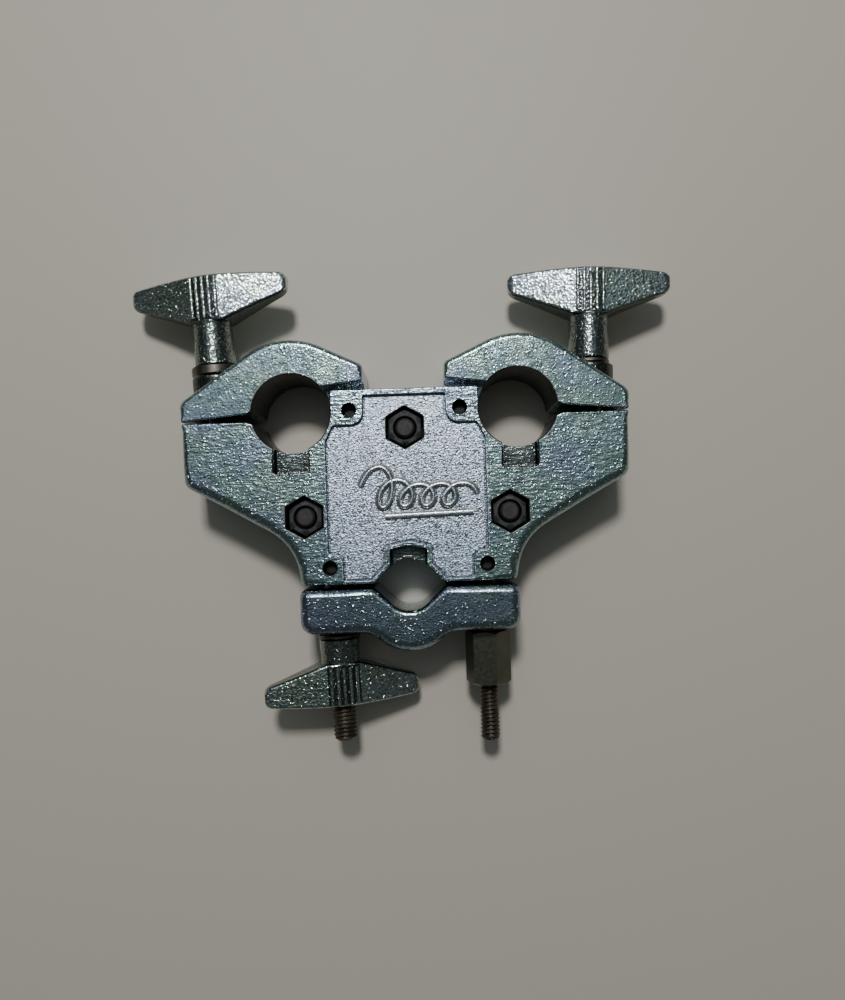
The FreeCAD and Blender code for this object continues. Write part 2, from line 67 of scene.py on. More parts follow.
def noise(tree, scale, detail=2.0, rough=0.5, stretch=(1, 1, 1)):
    node = addNode(tree, "ShaderNodeTexNoise")
    node.inputs["Scale"].default_value = scale
    node.inputs["Detail"].default_value = detail
    node.inputs["Roughness"].default_value = rough
    tree.links.new(scaledCoords(tree, stretch), node.inputs["Vector"])
    return node.outputs["Fac"]


def remap(tree, source, low, high, toLow, toHigh):
    node = addNode(tree, "ShaderNodeMapRange")
    node.inputs["From Min"].default_value = low
    node.inputs["From Max"].default_value = high
    node.inputs["To Min"].default_value = toLow
    node.inputs["To Max"].default_value = toHigh
    tree.links.new(source, node.inputs["Value"])
    return node.outputs["Result"]


def blendColours(tree, factor, first, second):
    node = addNode(tree, "ShaderNodeMix", data_type="RGBA")
    tree.links.new(factor, node.inputs["Factor"])
    for socket, value in ((node.inputs[6], first), (node.inputs[7], second)):        # the colour sockets
        if isinstance(value, tuple):
            socket.default_value = value + (1,)
        else:
            tree.links.new(value, socket)
    return node.outputs[2]


def bump(tree, height, distance, under=None):
    node = addNode(tree, "ShaderNodeBump")
    node.inputs["Strength"].default_value = 1.0
    node.inputs["Distance"].default_value = distance
    tree.links.new(height, node.inputs["Height"])
    if under is not None:
        tree.links.new(under, node.inputs["Normal"])
    return node.outputs["Normal"]


def makeFinish(name, look):
    material = bpy.data.materials.new(name)
    material.use_nodes = True
    tree = material.node_tree
    shader = tree.nodes["Principled BSDF"]
    shader.inputs["Metallic"].default_value = look["metal"]

    patches = remap(tree, noise(tree, look["patchScale"], 3.0), 0.38, 0.62, 0, 1)
    colour = blendColours(tree, patches, look["colour"], look["tint"])
    if "stain" in look:        # a second, slower tint
        stains = remap(tree, noise(tree, look["patchScale"] * 0.45, 2.0), 0.50, 0.66, 0, 1)
        colour = blendColours(tree, stains, colour, look["stain"])
    if "occlusionShade" in look:        # painted shade: colour darkens to a dark film where ambient occlusion finds the surface sheltered
        shelter = addNode(tree, "ShaderNodeAmbientOcclusion", samples=6)
        shelter.inputs["Distance"].default_value = look["occlusionShadeReach"] * mm
        paintedShadeMask = remap(tree, shelter.outputs["AO"], 0.25, 0.85, 1, 0)
        colour = blendColours(tree, paintedShadeMask, colour, look["occlusionShade"])
    if "speck" in look:        # darker specks of the cast skin
        low, high = look["speckFrom"]
        specks = remap(tree, noise(tree, look["speckScale"], 2.0, 0.6), low, high, 0, look["speckAmount"])
        colour = blendColours(tree, specks, colour, look["speck"])
    tree.links.new(colour, shader.inputs["Base Color"])

    wear = noise(tree, look["wearScale"], 4.0, 0.6)
    tree.links.new(remap(tree, wear, 0.3, 0.7, *look["rough"]), shader.inputs["Roughness"])

    normal = bump(tree, noise(tree, look["waveScale"], 2.0), look["waveHeight"] * mm)
    if "streakHeight" in look:
        streaks = noise(tree, look["streakScale"], 3.0, 0.6, look["streakStretch"])
        normal = bump(tree, streaks, look["streakHeight"] * mm, under=normal)
    if "peelHeight" in look:
        normal = bump(tree, noise(tree, look["peelScale"], 1.0), look["peelHeight"] * mm, under=normal)
    if "pitHeight" in look:        # sparse pits whose walls catch the lamp
        pits = remap(tree, noise(tree, look["pitScale"], 0.0), 0.62, 0.74, 0, 1)
        normal = bump(tree, pits, look["pitHeight"] * mm, under=normal)
    normal = bump(tree, noise(tree, look["grainScale"], 1.0, 0.6), look["grainHeight"] * mm, under=normal)
    tree.links.new(normal, shader.inputs["Normal"])
    return material


castLook = {
    "metal": 1.0, "colour": (0.36, 0.49, 0.51), "tint": (0.38, 0.51, 0.46), "stain": (0.38, 0.46, 0.56),
    "patchScale": 120, "occlusionShade": (0.02, 0.02, 0.018), "occlusionShadeReach": 2.0,
    "speck": (0.11, 0.15, 0.16), "speckScale": 2100, "speckFrom": (0.50, 0.66), "speckAmount": 0.6,
    "rough": (0.15, 0.28), "wearScale": 500,
    "waveScale": 300, "waveHeight": 0.09,
    "streakScale": 950, "streakStretch": (0.45, 1.5, 1.0), "streakHeight": 0.13,
    "peelScale": 1900, "peelHeight": 0.045,
    "pitScale": 1500, "pitHeight": 0.07,
    "grainScale": 3600, "grainHeight": 0.015,
}
jawLook = dict(castLook, colour=(0.38, 0.51, 0.53), tint=(0.40, 0.53, 0.47), stain=(0.40, 0.48, 0.58),
               speckAmount=0.45, streakHeight=0.025, peelScale=2300, peelHeight=0.065, rough=(0.14, 0.26))
# painted shade: a darker copy of the cast plating for the relief pockets, with wider occlusion shade
reliefShadeLook = dict(castLook, colour=(0.24, 0.29, 0.28), tint=(0.20, 0.22, 0.20), stain=(0.22, 0.24, 0.28),
                  occlusionShadeReach=4.5)
# painted shade: a near-black copy of the jaw plating for the bolt boss, which sits in the shade under the
# washer and wing nut
bossShadeLook = dict(jawLook, colour=(0.10, 0.11, 0.10), tint=(0.14, 0.14, 0.12), stain=(0.12, 0.12, 0.13))
barLook = dict(jawLook, colour=(0.33, 0.42, 0.49), tint=(0.36, 0.46, 0.45), stain=(0.35, 0.40, 0.52),
               speck=(0.09, 0.11, 0.14), speckAmount=0.6, streakHeight=0.01, peelScale=2200, peelHeight=0.055,
               pitHeight=0.11)
wingLook = dict(jawLook, colour=(0.60, 0.70, 0.68), tint=(0.50, 0.61, 0.49), stain=(0.60, 0.66, 0.74),
                speck=(0.05, 0.07, 0.06), speckScale=1700, speckAmount=0.7, streakHeight=0.005,
                peelScale=1700, peelHeight=0.12, pitHeight=0.07, rough=(0.11, 0.20))
# painted shade: a darker copy of the wing plating for the hub, standing in for the dark reflections on its
# sides
hubShadeLook = dict(wingLook, colour=(0.30, 0.34, 0.33), tint=(0.27, 0.31, 0.27), stain=(0.30, 0.31, 0.35))
shadeLook = dict(wingLook, colour=(0.11, 0.12, 0.11), tint=(0.13, 0.14, 0.12), stain=(0.12, 0.12, 0.13))
panelLook = {
    "metal": 1.0, "colour": (0.62, 0.75, 0.88), "tint": (0.70, 0.78, 0.92), "patchScale": 90,
    "speck": (0.08, 0.09, 0.11), "speckScale": 2100, "speckFrom": (0.46, 0.62), "speckAmount": 0.95,
    "occlusionShade": (0.012, 0.013, 0.015), "occlusionShadeReach": 0.75,
    "rough": (0.28, 0.46), "wearScale": 1500,
    "waveScale": 500, "waveHeight": 0.03,
    "grainScale": 2500, "grainHeight": 0.16,
}
markLook = dict(panelLook, colour=(0.80, 0.90, 0.96), tint=(0.86, 0.92, 0.98), speckAmount=0.4,
                grainHeight=0.06, rough=(0.22, 0.36))
# painted shade: a dark copy of the cast plating for the walls of bores, pockets, holes and slots, and for the
# painted shadow round the panel mark
darkShadeLook = dict(castLook, colour=(0.16, 0.16, 0.15), tint=(0.21, 0.20, 0.18), stain=(0.17, 0.18, 0.19),
                rough=(0.32, 0.5), occlusionShadeReach=8.0, streakStretch=(1.0, 1.0, 0.2), streakHeight=0.04,
                peelHeight=0.02, grainHeight=0.02)
oxideLook = {
    "metal": 0.25, "colour": (0.034, 0.037, 0.038), "tint": (0.046, 0.049, 0.049), "patchScale": 500,
    "occlusionShade": (0.006, 0.006, 0.006), "occlusionShadeReach": 1.0,
    "rough": (0.5, 0.7), "wearScale": 1200,
    "waveScale": 600, "waveHeight": 0.03, "grainScale": 2600, "grainHeight": 0.03,
}
screwLook = dict(oxideLook, colour=(0.034, 0.030, 0.031), tint=(0.050, 0.043, 0.042))
# black-oxide pins, darkened further, and the same near-black on the pin-hole walls: the pins' own colour plus
# painted shade in the holes
blackPinAndHoleShadeLook = dict(oxideLook, colour=(0.012, 0.012, 0.013), tint=(0.022, 0.020, 0.020), metal=0.3)
threadLook = dict(oxideLook, metal=0.9, colour=(0.075, 0.066, 0.055), tint=(0.15, 0.115, 0.085),
                  rough=(0.3, 0.5))
longNutLook = dict(oxideLook, metal=0.95, colour=(0.12, 0.125, 0.09), tint=(0.15, 0.145, 0.115),
                   rough=(0.28, 0.42), grainHeight=0.012, patchScale=160)
washerLook = dict(oxideLook, metal=1.0, colour=(0.13, 0.125, 0.11), tint=(0.19, 0.17, 0.14),
                  rough=(0.28, 0.45))

castPlating = makeFinish("castPlating", castLook)
reliefShade = makeFinish("reliefShade", reliefShadeLook)
jawPlating = makeFinish("jawPlating", jawLook)
barPlating = makeFinish("barPlating", barLook)
wingPlating = makeFinish("wingPlating", wingLook)
panelSand = makeFinish("panelSand", panelLook)
markPlating = makeFinish("markPlating", markLook)
bossShade = makeFinish("bossShade", bossShadeLook)
hubShade = makeFinish("hubShade", hubShadeLook)
shadePlating = makeFinish("shadePlating", shadeLook)
darkShade = makeFinish("darkShade", darkShadeLook)
darkOxide = makeFinish("darkOxide", oxideLook)
screwOxide = makeFinish("screwOxide", screwLook)
blackPinAndHoleShade = makeFinish("blackPinAndHoleShade", blackPinAndHoleShadeLook)
threadSteel = makeFinish("threadSteel", threadLook)
longNutSteel = makeFinish("longNutSteel", longNutLook)
washerZinc = makeFinish("washerZinc", washerLook)
print("finishes made")


# shaping tools: everything is drawn in millimetres and scaled once, when it is finished

def newObject(name, mesh, material=None):
    thing = bpy.data.objects.new(name, mesh)
    scene.collection.objects.link(thing)
    if material is not None:
        mesh.materials.append(material)
    return thing


def loft(name, rings, material=None, hoop=False):
    # joins rings of equal length; the ends are closed, or the last ring meets the first in a hoop
    mesh = bpy.data.meshes.new(name)
    count = len(rings[0])
    points = [point for ring in rings for point in ring]
    faces = []
    for level in range(len(rings) if hoop else len(rings) - 1):
        low = level * count
        high = (level + 1) % len(rings) * count
        for step in range(count):
            after = (step + 1) % count
            faces.append((low + step, low + after, high + after, high + step))
    if not hoop:
        faces.append(tuple(reversed(range(count))))
        faces.append(tuple(range(len(points) - count, len(points))))
    mesh.from_pydata(points, [], faces)
    work = bmesh.new()
    work.from_mesh(mesh)
    bmesh.ops.remove_doubles(work, verts=work.verts, dist=1e-4)
    bmesh.ops.dissolve_degenerate(work, dist=1e-5, edges=work.edges)
    bmesh.ops.recalc_face_normals(work, faces=work.faces)
    work.to_mesh(mesh)
    work.free()
    return newObject(name, mesh, material)


def cornerRing(corners, insetOf, heightOf):
    # corners: (x, y, radius, softness), counter-clockwise; each rounds into an arc that follows the inset
    ring = []
    total = len(corners)
    for index, (x, y, radius, soft) in enumerate(corners):
        here = Vector((x, y))
        into = (here - Vector(corners[index - 1][:2])).normalized()
        out = (Vector(corners[(index + 1) % total][:2]) - here).normalized()
        turn = math.atan2(into.x * out.y - into.y * out.x, into.dot(out))
        inset = insetOf(soft)
        height = heightOf(soft)
        normalIn = Vector((-into.y, into.x))
        normalOut = Vector((-out.y, out.x))
        miter = (normalIn + normalOut) / (1 + normalIn.dot(normalOut))
        moved = here + miter * inset
        sign = 1 if turn >= 0 else -1
        rounding = max(radius - sign * inset, 0)
        centre = moved + miter * rounding * sign
        steps = max(1, int(abs(turn) * math.sqrt(radius) * 5)) if radius > 0 else 0
        for step in range(steps + 1):
            angle = turn * step / max(steps, 1)
            spoke = -normalIn * rounding * sign
            spoke.rotate(Matrix.Rotation(angle, 2))
            ring.append((centre.x + spoke.x, centre.y + spoke.y, height))
    return ring


def mirrorCorners(corners):
    return [(-corner[0],) + tuple(corner[1:]) for corner in reversed(corners)]


def wholeOutline(half):
    # a right half, from the bottom centre up; corners on the centre line aren't repeated
    return half + [corner for corner in mirrorCorners(half) if abs(corner[0]) > 1e-6]


def circleCorners(x, y, radius, soft=0.0):
    return [(x + radius * a, y + radius * b, radius, soft) for a, b in ((-1, -1), (1, -1), (1, 1), (-1, 1))]


def hexCorners(x, y, acrossFlats, radius, turned=30):
    reach = acrossFlats / math.sqrt(3)
    angles = [math.radians(turned + 60 * step) for step in range(6)]
    return [(x + reach * math.cos(a), y + reach * math.sin(a), radius, 0) for a in angles]


roundSteps = 6      # of a slab's rounded edge
lipSteps = 4        # of a cut's rounded lip
clear = 2.0         # how far a cut stands out of the surface it opens


def quarterTurn(steps):
    return [math.radians(90 * step / steps) for step in range(steps + 1)]


def slab(name, corners, zLow, zHigh, lowSoft, highSoft, material=None):
    # softness: None takes each corner's own, a number is the same all round
    rings = []

    def pick(own, fixed):
        return own if fixed is None else fixed

    for angle in quarterTurn(roundSteps):
        rings.append(cornerRing(corners, lambda soft: pick(soft, lowSoft) * (1 - math.sin(angle)),
                                lambda soft: zLow + pick(soft, lowSoft) * (1 - math.cos(angle))))
    for angle in reversed(quarterTurn(roundSteps)):
        rings.append(cornerRing(corners, lambda soft: pick(soft, highSoft) * (1 - math.sin(angle)),
                                lambda soft: zHigh - pick(soft, highSoft) * (1 - math.cos(angle))))
    return loft(name, rings, material)


def cutter(corners, profile, material, hoop=False):
    # one ring for each (inset, height) of the profile
    rings = [cornerRing(corners, lambda soft, i=i: i, lambda soft, z=z: z) for i, z in profile]
    return loft("tool", rings, material, hoop)


def pocketTool(corners, zFloor, zFace, flare, floorRound, outward, material):
    # opens at zFace with a rounded lip; outward is the side of the opening along Z
    profile = []
    for angle in quarterTurn(lipSteps):
        rise = floorRound * (1 - math.cos(angle))
        profile.append((floorRound * (1 - math.sin(angle)), zFloor + outward * rise))
    for angle in quarterTurn(lipSteps):
        profile.append((-flare * (1 - math.cos(angle)), zFace - outward * flare * (1 - math.sin(angle))))
    profile.append((-flare, zFace + outward * clear))
    return cutter(corners, profile, material)


def throughTool(corners, zLow, zHigh, flare, material):
    quarter = quarterTurn(lipSteps)
    profile = [(-flare, zLow - clear)]
    profile += [(-flare * (1 - math.sin(a)), zLow + flare * (1 - math.cos(a))) for a in quarter]
    profile += [(-flare * (1 - math.cos(a)), zHigh - flare * (1 - math.sin(a))) for a in quarter]
    profile.append((-flare, zHigh + clear))
    return cutter(corners, profile, material)


def plainTool(corners, zLow, zHigh, material):
    return cutter(corners, [(0.0, zLow), (0.0, zHigh)], material)


def grooveTool(corners, inner, zFloor, zFace, material):
    # a trench that follows an outline, from the outline inwards
    profile = [(0.0, zFace), (0.0, zFloor), (inner, zFloor), (inner + 0.1, zFace)]
    return cutter(corners, profile, material, True)


def lathe(name, profile, place=Matrix(), segments=64, material=None, hoop=False):
    # profile: (radius, height) pairs round the local Y axis; a hoop's profile closes on itself
    turn = [2 * math.pi * step / segments for step in range(segments)]
    rings = [[tuple(place @ Vector((radius * math.cos(a), height, -radius * math.sin(a)))) for a in turn]
             for radius, height in profile]
    return loft(name, rings, material, hoop)


def drillTool(radius, low, high, place, material, segments=48):
    return lathe("tool", [(0, low), (radius, low), (radius, high), (0, high)], place, segments, material)


def uprightPlace(x, y, z):
    # local +Y along world +Z
    return Matrix.Translation((x, y, z)) @ Matrix.Rotation(math.pi / 2, 4, "X")


def evaluatedMesh(thing):
    bpy.context.view_layer.update()
    return bpy.data.meshes.new_from_object(thing.evaluated_get(bpy.context.evaluated_depsgraph_get()))


def applyModifiers(thing):
    shaped = evaluatedMesh(thing)
    thing.modifiers.clear()
    old = thing.data
    thing.data = shaped
    bpy.data.meshes.remove(old)


def combine(target, tools, mode="DIFFERENCE"):
    for index, tool in enumerate(tools):
        step = target.modifiers.new("step%d" % index, "BOOLEAN")
        step.operation = mode
        step.object = tool
        step.solver = "EXACT"
        step.material_mode = "TRANSFER"
    applyModifiers(target)
    for tool in tools:
        bpy.data.objects.remove(tool)
    return target


def addInto(target, extra, material):
    # joins a mesh into the target and gives it one of the target's finishes
    if material.name not in target.data.materials:
        target.data.materials.append(material)
    slot = target.data.materials.find(material.name)
    for polygon in extra.data.polygons:
        polygon.material_index = slot
    work = bmesh.new()
    work.from_mesh(target.data)
    work.from_mesh(extra.data)
    work.to_mesh(target.data)
    work.free()
    bpy.data.objects.remove(extra)


def finishPiece(thing, body, nodes, sharpAngle=32):
    # clean up, even the shading on flat faces, scale to metres and hand over to the frame
    mesh = thing.data
    work = bmesh.new()
    work.from_mesh(mesh)
    bmesh.ops.remove_doubles(work, verts=work.verts, dist=2e-3)
    bmesh.ops.dissolve_degenerate(work, dist=1e-4, edges=work.edges)
    work.to_mesh(mesh)
    work.free()
    mesh.polygons.foreach_set("use_smooth", [True] * len(mesh.polygons))
    mesh.set_sharp_from_angle(angle=math.radians(sharpAngle))
    even = thing.modifiers.new("even", "WEIGHTED_NORMAL")
    even.keep_sharp = True
    even.weight = 90
    applyModifiers(thing)
    thing.data.transform(Matrix.Scale(mm, 4))
    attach(thing, body)
    if nodes:
        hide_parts(*nodes)
    return thing


def axisPlace(jointName):
    # local +Y along the bolt's axis, from its pivot, in millimetres
    joint = joints[jointName]
    pivot = Vector(joint["pos_m"]) / mm
    axis = Vector(joint["axis"])
    return Matrix.Translation(pivot) @ Matrix.Rotation(math.atan2(-axis.x, axis.y), 4, "Z")


# the two half castings

cast = {
    "depth": 10.5, "boreX": 28.0, "boreY": 22.2, "boreRadius": 9.65, "rodY": -20.8, "rodRadius": 6.4,
    "topY": 27.6, "slotY": 20.4, "footY": -20.2, "side": 55.0,
    "panelDepth": 0.7, "reliefDepth": 4.0, "reliefHalf": 4.4,
    "pinRadius": 1.7, "jawPin": (13.65, 22.5), "footPin": (19.3, -16.15),
    "boltPivot": (47.0, 11.0), "screws": ((0, 17.95), (-25.3, -3.5), (25.3, -3.5)),
    "nutFlats": 9.2, "nutFloor": 4.5, "headPocket": 4.8, "headDepth": 3.2, "screwHole": 2.6,
    "seam": 0.22, "jawSlot": 8.4, "boltSlot": 6.6, "grooveWide": 0.42, "grooveDeep": 0.4,
}


def castOutline():
    c = cast
    touch = c["rodRadius"] * math.sqrt(2)
    inner = c["boreX"] - c["boreRadius"]
    return wholeOutline([
        (0, c["rodY"] + touch, c["rodRadius"], 0.5),
        (c["rodRadius"] * math.sqrt(0.5) + 3.93, c["footY"], 0.4, 0.5),
        (20.0, c["footY"], 0, 0.7),
        (26.4, c["footY"], 1.0, 1.8),
        (28.86, -9.89, 14.5, 2.8),
        (44.0, -1.24, 0, 3.0),
        (c["side"], 5.04, 2.8, 2.4),
        (c["side"], 10.0, 0, 1.7),
        (c["side"], 18.6, 0, 1.4),
        (c["side"], c["slotY"], 0.5, 0.45),
        (39.1, c["slotY"], 0.8, 0.4),
        (36.4, 19.3, 0, 0.3),
        (23.5, 19.6, 0, 0.3),
        (inner, c["boreY"], 0, 0.3),
        (inner, c["topY"], 0.5, 0.4),
    ])


def panelCorners():
    return wholeOutline([
        (0, -9.9, 6.0, 0), (5.8, -11.4, 0.6, 0), (5.85, -15.7, 0.4, 0), (9.3, -19.4, 0.5, 0),
        (15.9, -19.4, 0.5, 0), (16.1, -12.8, 2.4, 0), (19.6, -12.6, 0.6, 0), (19.6, 15.0, 0.9, 0),
        (17.7, 18.85, 0.8, 0), (10.2, 18.85, 3.2, 0), (10.1, 26.05, 0.5, 0),
    ])


def makeHalf(name, node, isFront):
    c = cast
    way = 1 if isFront else -1
    face = midZ + way * c["depth"]
    tools = []

    def level(rise):
        return midZ + way * rise

    def pocket(corners, floor, flare, floorRound, material, mouth=face):
        tools.append(pocketTool(corners, floor, mouth, flare, floorRound, way, material))

    low, high = sorted((midZ, face))
    softs = (c["seam"], None) if isFront else (None, c["seam"])
    half = slab(name, castOutline(), low, high, *softs, castPlating)
    for x in (-c["boreX"], c["boreX"]):
        pocket(circleCorners(x, c["boreY"], c["boreRadius"]), level(-2), 0.4, 0, darkShade)
    reach = c["reliefHalf"]
    reliefFloor = level(c["depth"] - c["reliefDepth"])
    for side in (-1, 1):
        x = side * (c["boreX"] + 0.2)
        pocket([(x - reach, 7.4, 0.7, 0), (x + reach, 7.4, 0.7, 0), (x + reach, 19.0, 0, 0),
                (x - reach, 19.0, 0, 0)], reliefFloor, 0.35, 0.5, reliefShade)
    pocket([(-reach, -19.0, 0, 0), (reach, -19.0, 0, 0), (reach, -12.1, 0.6, 0), (0, -11.2, 8.0, 0),
            (-reach, -12.1, 0.6, 0)], reliefFloor, 0.3, 0.5, reliefShade)
    for x, y in c["screws"]:
        if isFront:
            mouth = face - c["panelDepth"] if x == 0 else face
            pocket(hexCorners(x, y, c["nutFlats"], 0.3), level(c["nutFloor"]), 0.28, 0.2, darkShade, mouth)
        else:
            floor = level(c["depth"] - c["headDepth"])
            pocket(circleCorners(x, y, c["headPocket"]), floor, 0.3, 0.2, darkShade)
        ends = sorted((level(-1), level(12)))
        tools.append(plainTool(circleCorners(x, y, c["screwHole"]), *ends, darkShade))
    for px, py in (c["jawPin"], c["footPin"]):
        for side in (-1, 1):
            # the pin-hole walls take the near-black pin finish: painted shade in the holes
            pocket(circleCorners(side * px, py, c["pinRadius"]), level(-1), 0.22, 0, blackPinAndHoleShade)
    px, py = c["jawPin"]
    ear = [(px - 4.75, py - 4.75, 4.7, 0), (px + 3.75, py - 4.75, 0.3, 0), (px + 3.75, py - 2.3, 0.2, 0),
           (px + 7, py - 2.3, 0, 0), (px + 7, 30, 0, 0), (px - 4.75, 30, 0, 0)]
    bx, by = c["boltPivot"]
    bolt = [(bx - 4.6, by - 4.6, 4.5, 0), (bx, by - 4.6, 0, 0), (58, by - 3.7, 0, 0), (58, 22, 0, 0),
            (bx - 4.6, 22, 0, 0)]
    fx, fy = c["footPin"]
    foot = [(fx - 4.5, -22, 0, 0), (31, -22, 0, 0), (31, fy + 3.6, 0, 0), (fx, fy + 4.5, 0, 0),
            (fx - 4.5, fy + 4.5, 4.4, 0)]
    for shape, width in ((ear, c["jawSlot"]), (bolt, c["boltSlot"]), (foot, c["boltSlot"])):
        for corners in (shape, mirrorCorners(shape)):
            low, high = sorted((level(-1), level(width / 2)))
            tools.append(plainTool(corners, low, high, darkShade))
    if isFront:
        floor = face - c["panelDepth"]
        pocket(panelCorners(), floor, 0.32, 0.1, panelSand)
    combine(half, tools)
    if isFront:
        groove = grooveTool(panelCorners(), c["grooveWide"], floor - c["grooveDeep"], floor + 0.15, panelSand)
        combine(half, [groove])
    return finishPiece(half, "root", [node])


makeHalf("frontHalf", "front_casting", True)
makeHalf("rearHalf", "rear_casting", False)
print("castings made")


# raised mark on the panel: a plain looped flourish over a bar, no letters

mark = {
    "floor": 20.3, "top": 20.9, "shadowRimTop": 20.42, "stroke": 0.62, "shadowRim": 0.95,
    "start": -12.2, "pitch": 5.3, "turns": 4.5, "steps": 190, "loop": 2.7, "fadeTurns": 1.6,
    "tall": (5.6, 2.7), "middle": (3.7, 1.1), "slant": 0.22, "bar": ((-5.5, -3.9), (16.2, -3.3)),
}


def bead(points, radius, top):
    # a round-topped bead along a line; its lower half stays inside the panel
    curve = bpy.data.curves.new("bead", "CURVE")
    curve.dimensions = "3D"
    curve.bevel_depth = radius
    curve.bevel_resolution = 5
    curve.use_fill_caps = True
    spline = curve.splines.new("POLY")
    spline.points.add(len(points) - 1)
    for target, (x, y) in zip(spline.points, points):
        target.co = (x, y, 0, 1)
    holder = newObject("bead", curve)
    mesh = evaluatedMesh(holder)
    bpy.data.objects.remove(holder)
    rise = (top - mark["floor"]) / radius
    for vertex in mesh.vertices:
        height = vertex.co.z
        vertex.co.z = mark["floor"] + (height * rise if height > 0 else height * 0.35)
    return newObject("bead", mesh)


def flourishPoints():
    # loops that start tall and settle to an even row
    m = mark
    points = []
    for step in range(m["steps"] + 1):
        share = step / m["steps"]
        angle = math.pi * 0.5 + share * m["turns"] * 2 * math.pi
        fade = min(1, share * m["turns"] / m["fadeTurns"])
        tall = m["tall"][0] + (m["tall"][1] - m["tall"][0]) * fade
        middle = m["middle"][0] + (m["middle"][1] - m["middle"][0]) * fade
        y = middle - tall * math.cos(angle)
        along = m["start"] + m["pitch"] * (angle - math.pi * 0.5) / (2 * math.pi)
        x = along - m["loop"] * math.sin(angle) + m["loop"]
        points.append((x + m["slant"] * y, y))
    return points


def makeMark():
    joined = newObject("panelMark", bpy.data.meshes.new("panelMark"), markPlating)
    for line in (flourishPoints(), mark["bar"]):
        # each line first gets a wider, low dark bead: a painted shadow round the raised stroke
        addInto(joined, bead(line, mark["shadowRim"], mark["shadowRimTop"]), darkShade)
        addInto(joined, bead(line, mark["stroke"], mark["top"]), markPlating)
    work = bmesh.new()
    work.from_mesh(joined.data)
    bmesh.ops.recalc_face_normals(work, faces=work.faces)
    work.to_mesh(joined.data)
    work.free()
    return finishPiece(joined, "root", [])


makeMark()


# hinged jaws

jaw = {"depth": 21.0, "tongueHalf": 4.0, "pinHole": 1.73, "slotHalf": 3.4, "slotReach": 3.7,
       "bossRadius": 6.5, "bossTop": 22.6, "bossBase": 14, "seatSweep": 24, "seatSteps": 14}


def jawCorners():
    return [
        (10.1, 29.7, 0.6, 0.5), (20.7, 28.5, 0, 0.4), (24.5, 27.0, 0, 0.3), (34.5, 24.5, 0, 0.3),
        (36.4, 23.5, 0, 0.3), (39.1, 22.3, 0.7, 0.4), (55.1, 20.7, 0.5, 0.5), (55.3, 22.6, 0, 1.2),
        (55.6, 25.6, 2.4, 1.4), (29.97, 43.33, 18.4, 1.5), (10.1, 33.9, 1.5, 1.4), (10.1, 31.2, 0, 1.0),
    ]


def seatTool(place, radius):
    # outward of the bolt the seat curves about the bolt's pivot
    x, y, _ = place.translation
    up = place.to_3x3() @ Vector((0, 1, 0))
    side = 1 if x > 0 else -1
    own = math.atan2(up.y, up.x)
    steps = jaw["seatSteps"]
    sweep = [own - side * math.radians(jaw["seatSweep"] * step / steps) for step in range(steps + 1)]
    inner = [(x + radius * math.cos(a), y + radius * math.sin(a), 0, 0) for a in sweep]
    far = radius + 5
    outer = [(x + far * math.cos(a), y + far * math.sin(a), 0, 0) for a in reversed(sweep)]
    loop = inner + outer
    return plainTool(loop[::-1] if side < 0 else loop, -1, 22, jawPlating)


def makeJaw(word, side):
    c = cast
    sideOf = (lambda corners: corners) if side > 0 else mirrorCorners
    block = slab(word + "Jaw", sideOf(jawCorners()), 0, jaw["depth"], None, None, jawPlating)
    px, py = c["jawPin"]
    tongue = [(px - 4, py - 4, 3.95, 0), (px + 4, py - 4, 3.95, 0), (px + 4, py, 0, 0), (20.3, 28.6, 0, 0),
              (21.5, 31.5, 0, 0), (px - 3.4, 31.5, 0, 0), (px - 4, py, 0, 0)]
    reach = jaw["tongueHalf"]
    tongueBlock = slab("tongue", sideOf(tongue), midZ - reach, midZ + reach, 0.3, 0.3, jawPlating)
    place = axisPlace(word + "_wing_spin")
    radius, top, base = jaw["bossRadius"], jaw["bossTop"], jaw["bossBase"]
    rounded = [(radius, top - 1.1), (radius - 0.12, top - 0.65), (radius - 0.4, top - 0.3),
               (radius - 0.75, top - 0.08), (radius - 1.2, top)]
    boss = lathe("boss", [(0, base), (radius, base)] + rounded + [(0, top)], place, 64, bossShade)
    combine(boss, [seatTool(place, top)])
    combine(block, [tongueBlock, boss], "UNION")
    slotX = c["boltPivot"][0] - jaw["slotReach"]
    slot = [(slotX, 18, 0.8, 0), (62, 18, 0, 0), (62, 40, 0, 0), (slotX, 40, 0.8, 0)]
    bore = circleCorners(side * c["boreX"], c["boreY"], c["boreRadius"])
    combine(block, [
        drillTool(radius + 0.1, top + 0.01, top + 8, place, jawPlating, 64),
        throughTool(bore, 0, jaw["depth"], 0.4, darkShade),
        plainTool(sideOf(slot), midZ - jaw["slotHalf"], midZ + jaw["slotHalf"], darkShade),
        plainTool(circleCorners(side * px, py, jaw["pinHole"]), 0, jaw["depth"], darkShade),
    ])
    return finishPiece(block, word + "_jaw", [word + "_jaw"])


makeJaw("left", -1)
makeJaw("right", 1)


# lower bar

bar = {"half": 27.2, "top": -21.2, "base": -32.5, "bellyCorner": -42.17, "bellyRadius": 12.0,
       "slotInner": -14.9, "slotHalf": 3.4, "boltX": 19.3, "boltHole": 2.85}


